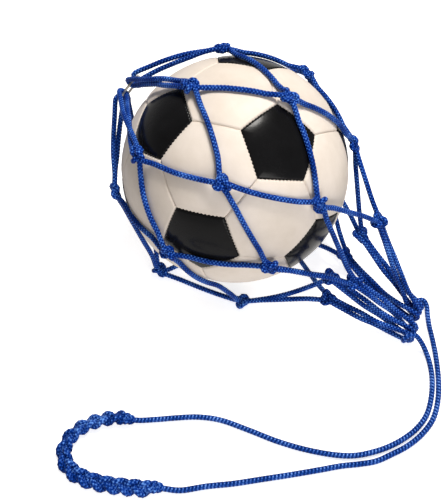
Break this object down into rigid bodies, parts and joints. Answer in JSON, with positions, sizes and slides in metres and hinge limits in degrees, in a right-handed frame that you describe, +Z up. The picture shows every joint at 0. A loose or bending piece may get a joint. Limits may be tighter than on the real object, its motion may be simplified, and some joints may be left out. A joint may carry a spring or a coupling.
{
  "type": "mesh ball bag",
  "caption": "Knotted cord net bag that carries one football, gathered at its mouth by a drawcord with a crocheted handle.",
  "frame": {"origin": "middle of the foot of the whole bag without its drawcord, on the table", "axes": "+X level along the bag from its start ring towards its mouth, +Y away from the handle, +Z up"},
  "size_m": [0.3817, 0.4072, 0.2342],
  "materials": {
    "net_cord": "royal blue braided synthetic cord, slightly glossy yarns",
    "strap_cord": "the same braided cord, in the strap and in its crocheted handle",
    "ring_metal": "thin plated wire ring, satin",
    "cover_black": "glossy black synthetic leather, stitched",
    "cover_white": "warm white synthetic leather with a soft gloss, stitched",
    "bladder_rubber": "matt black rubber"
  },
  "bodies": {
    "net": {"net_cord_1": "net_cord", "net_cord_2": "net_cord", "net_cord_3": "net_cord", "net_cord_4": "net_cord", "net_cord_5": "net_cord", "net_cord_6": "net_cord", "drawcord": "strap_cord"},
    "ball": {"black_panel_01": "cover_black", "black_panel_02": "cover_black", "black_panel_03": "cover_black", "black_panel_04": "cover_black", "black_panel_05": "cover_black", "black_panel_06": "cover_black", "black_panel_07": "cover_black", "black_panel_08": "cover_black", "black_panel_09": "cover_black", "black_panel_10": "cover_black", "black_panel_11": "cover_black", "black_panel_12": "cover_black", "white_panel_01": "cover_white", "white_panel_02": "cover_white", "white_panel_03": "cover_white", "white_panel_04": "cover_white", "white_panel_05": "cover_white", "white_panel_06": "cover_white", "white_panel_07": "cover_white", "white_panel_08": "cover_white", "white_panel_09": "cover_white", "white_panel_10": "cover_white", "white_panel_11": "cover_white", "white_panel_12": "cover_white", "white_panel_13": "cover_white", "white_panel_14": "cover_white", "white_panel_15": "cover_white", "white_panel_16": "cover_white", "white_panel_17": "cover_white", "white_panel_18": "cover_white", "white_panel_19": "cover_white", "white_panel_20": "cover_white", "bladder": "bladder_rubber", "valve": "bladder_rubber"},
    "ring": {"start_ring": "ring_metal"},
    "handle": {"crocheted_handle": "strap_cord"}
  },
  "joints": [
    {"name": "ball_turn", "type": "hinge", "parent": "net", "child": "ball", "pos_m": [-0.04113, 0.09373, 0.11572], "axis": [0.8926, 0, -0.4509], "continuous": true},
    {"name": "ring_turn", "type": "hinge", "parent": "net", "child": "ring", "pos_m": [-0.15628, 0.09373, 0.17389], "axis": [0.8926, 0, -0.4509], "continuous": true},
    {"name": "handle_lift", "type": "hinge", "parent": "net", "child": "handle", "pos_m": [-0.03213, -0.13327, 0.00672], "axis": [-0.7894, 0.6139, 0], "range_deg": [0, 90]}
  ]
}
